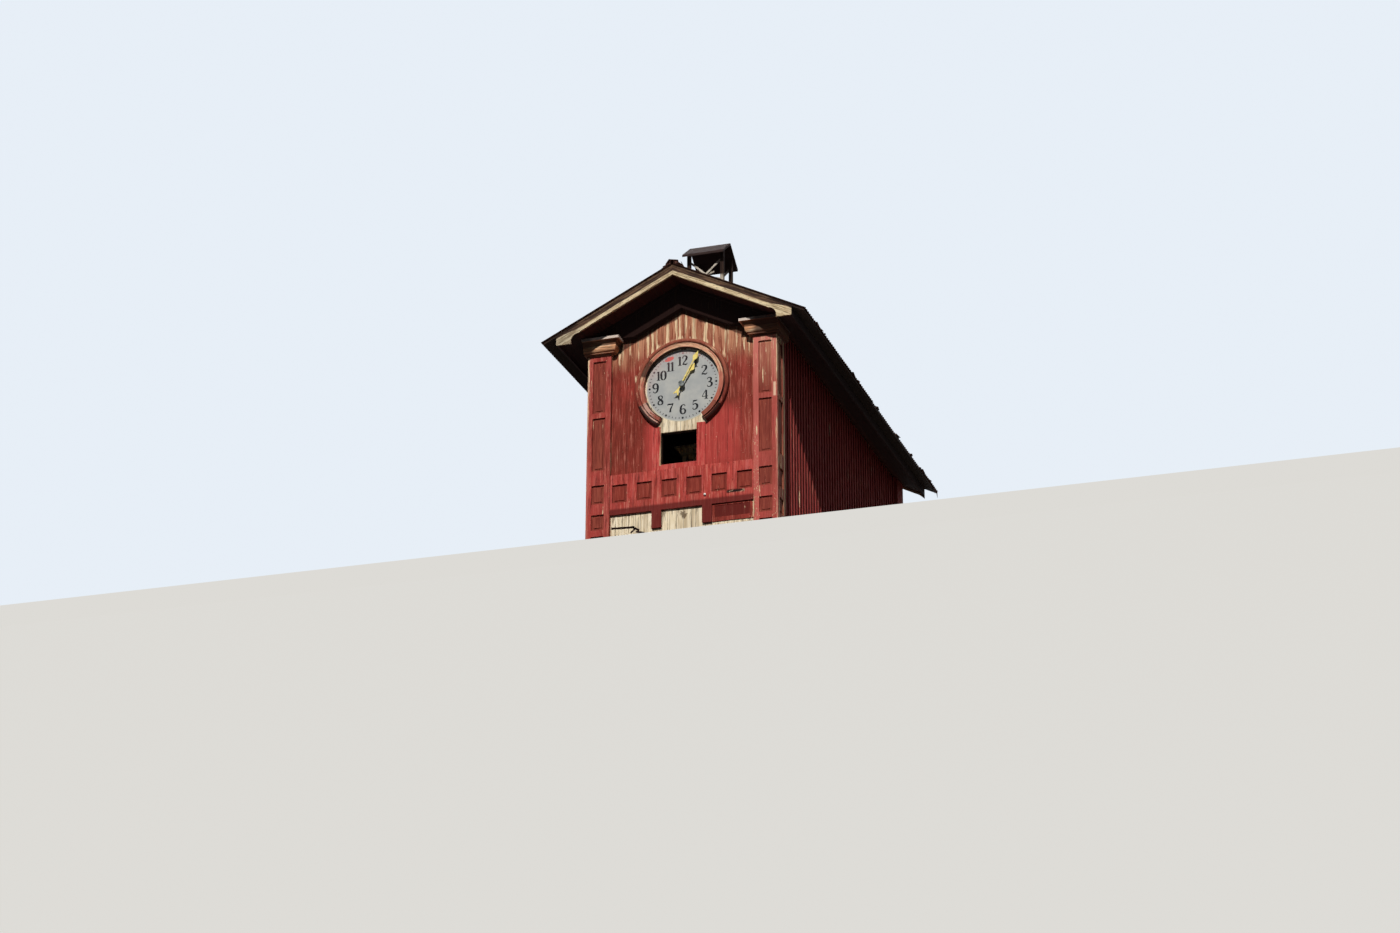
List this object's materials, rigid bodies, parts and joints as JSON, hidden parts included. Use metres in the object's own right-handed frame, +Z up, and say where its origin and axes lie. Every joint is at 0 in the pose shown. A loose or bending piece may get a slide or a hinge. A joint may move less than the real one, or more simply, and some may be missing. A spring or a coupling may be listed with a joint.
{
  "type": "timber clock tower",
  "caption": "Small timber clock tower with a gabled sheet roof, a round dial with turning hands, corner pilasters and an open bell cote on the ridge.",
  "frame": {"origin": "centre of the roof's length and width, at the level of the lower edge of the walls", "axes": "+Z up, +Y along the ridge from the dial's front to the rear, +X to the right as seen from the front"},
  "size_m": [3.756, 7.165, 5.6099],
  "materials": {
    "red_paint": "weathered flaking paint on timber",
    "cream_paint": "weathered cream paint on timber",
    "bare_timber": "bare aged timber",
    "dark_timber": "dark stained timber",
    "roof_sheet": "rusted corrugated steel",
    "dial_enamel": "faded grey-white paint",
    "hand_gilt": "pale gold paint",
    "bush_metal": "dull grey",
    "case_wood": "brown varnish"
  },
  "bodies": {
    "tower": {"floor": "bare_timber", "front_wall_left": "red_paint", "front_wall_right": "red_paint", "front_wall_apron": "red_paint", "front_gable": "red_paint", "side_wall_left": "red_paint", "side_wall_right": "red_paint", "rear_wall": "red_paint", "pilaster_left": "red_paint", "pilaster_right": "red_paint", "rear_post_left": "red_paint", "rear_post_right": "red_paint", "capital_left": "red_paint", "capital_right": "red_paint", "frieze": "red_paint", "apron_stiles": "red_paint", "apron_panel": "red_paint", "window_boards": "red_paint", "dial": "dial_enamel", "dial_ring": "red_paint", "ring_pieces": "red_paint", "dial_bush": "bush_metal", "clock_case": "case_wood", "case_cornice": "case_wood", "wall_plates": "dark_timber", "rafters": "dark_timber", "ridge_board": "dark_timber", "roof_boards_left": "dark_timber", "roof_boards_right": "dark_timber", "soffits": "dark_timber", "fascias": "dark_timber", "rake_frieze": "dark_timber", "roof_sheets_left": "roof_sheet", "roof_sheets_right": "roof_sheet", "ridge_cap": "roof_sheet", "front_barge_left": "cream_paint", "front_barge_right": "cream_paint", "rear_barges": "cream_paint", "cote_saddles": "bare_timber", "cote_posts": "bare_timber", "cote_braces": "bare_timber", "cote_roof_front": "roof_sheet", "cote_roof_back": "roof_sheet"},
    "hour": {"hour_hand": "hand_gilt"},
    "minute": {"minute_hand": "hand_gilt"}
  },
  "joints": [
    {"name": "minute_turn", "type": "hinge", "parent": "tower", "child": "minute", "pos_m": [0, -3.0875, 3], "axis": [0, 1, 0], "continuous": true},
    {"name": "hour_turn", "type": "hinge", "parent": "tower", "child": "hour", "pos_m": [0, -3.0875, 3], "axis": [0, 1, 0], "continuous": true}
  ],
  "couplings": [
    {"joint": "hour_turn", "follows": "minute_turn", "ratio": 0.083333}
  ]
}
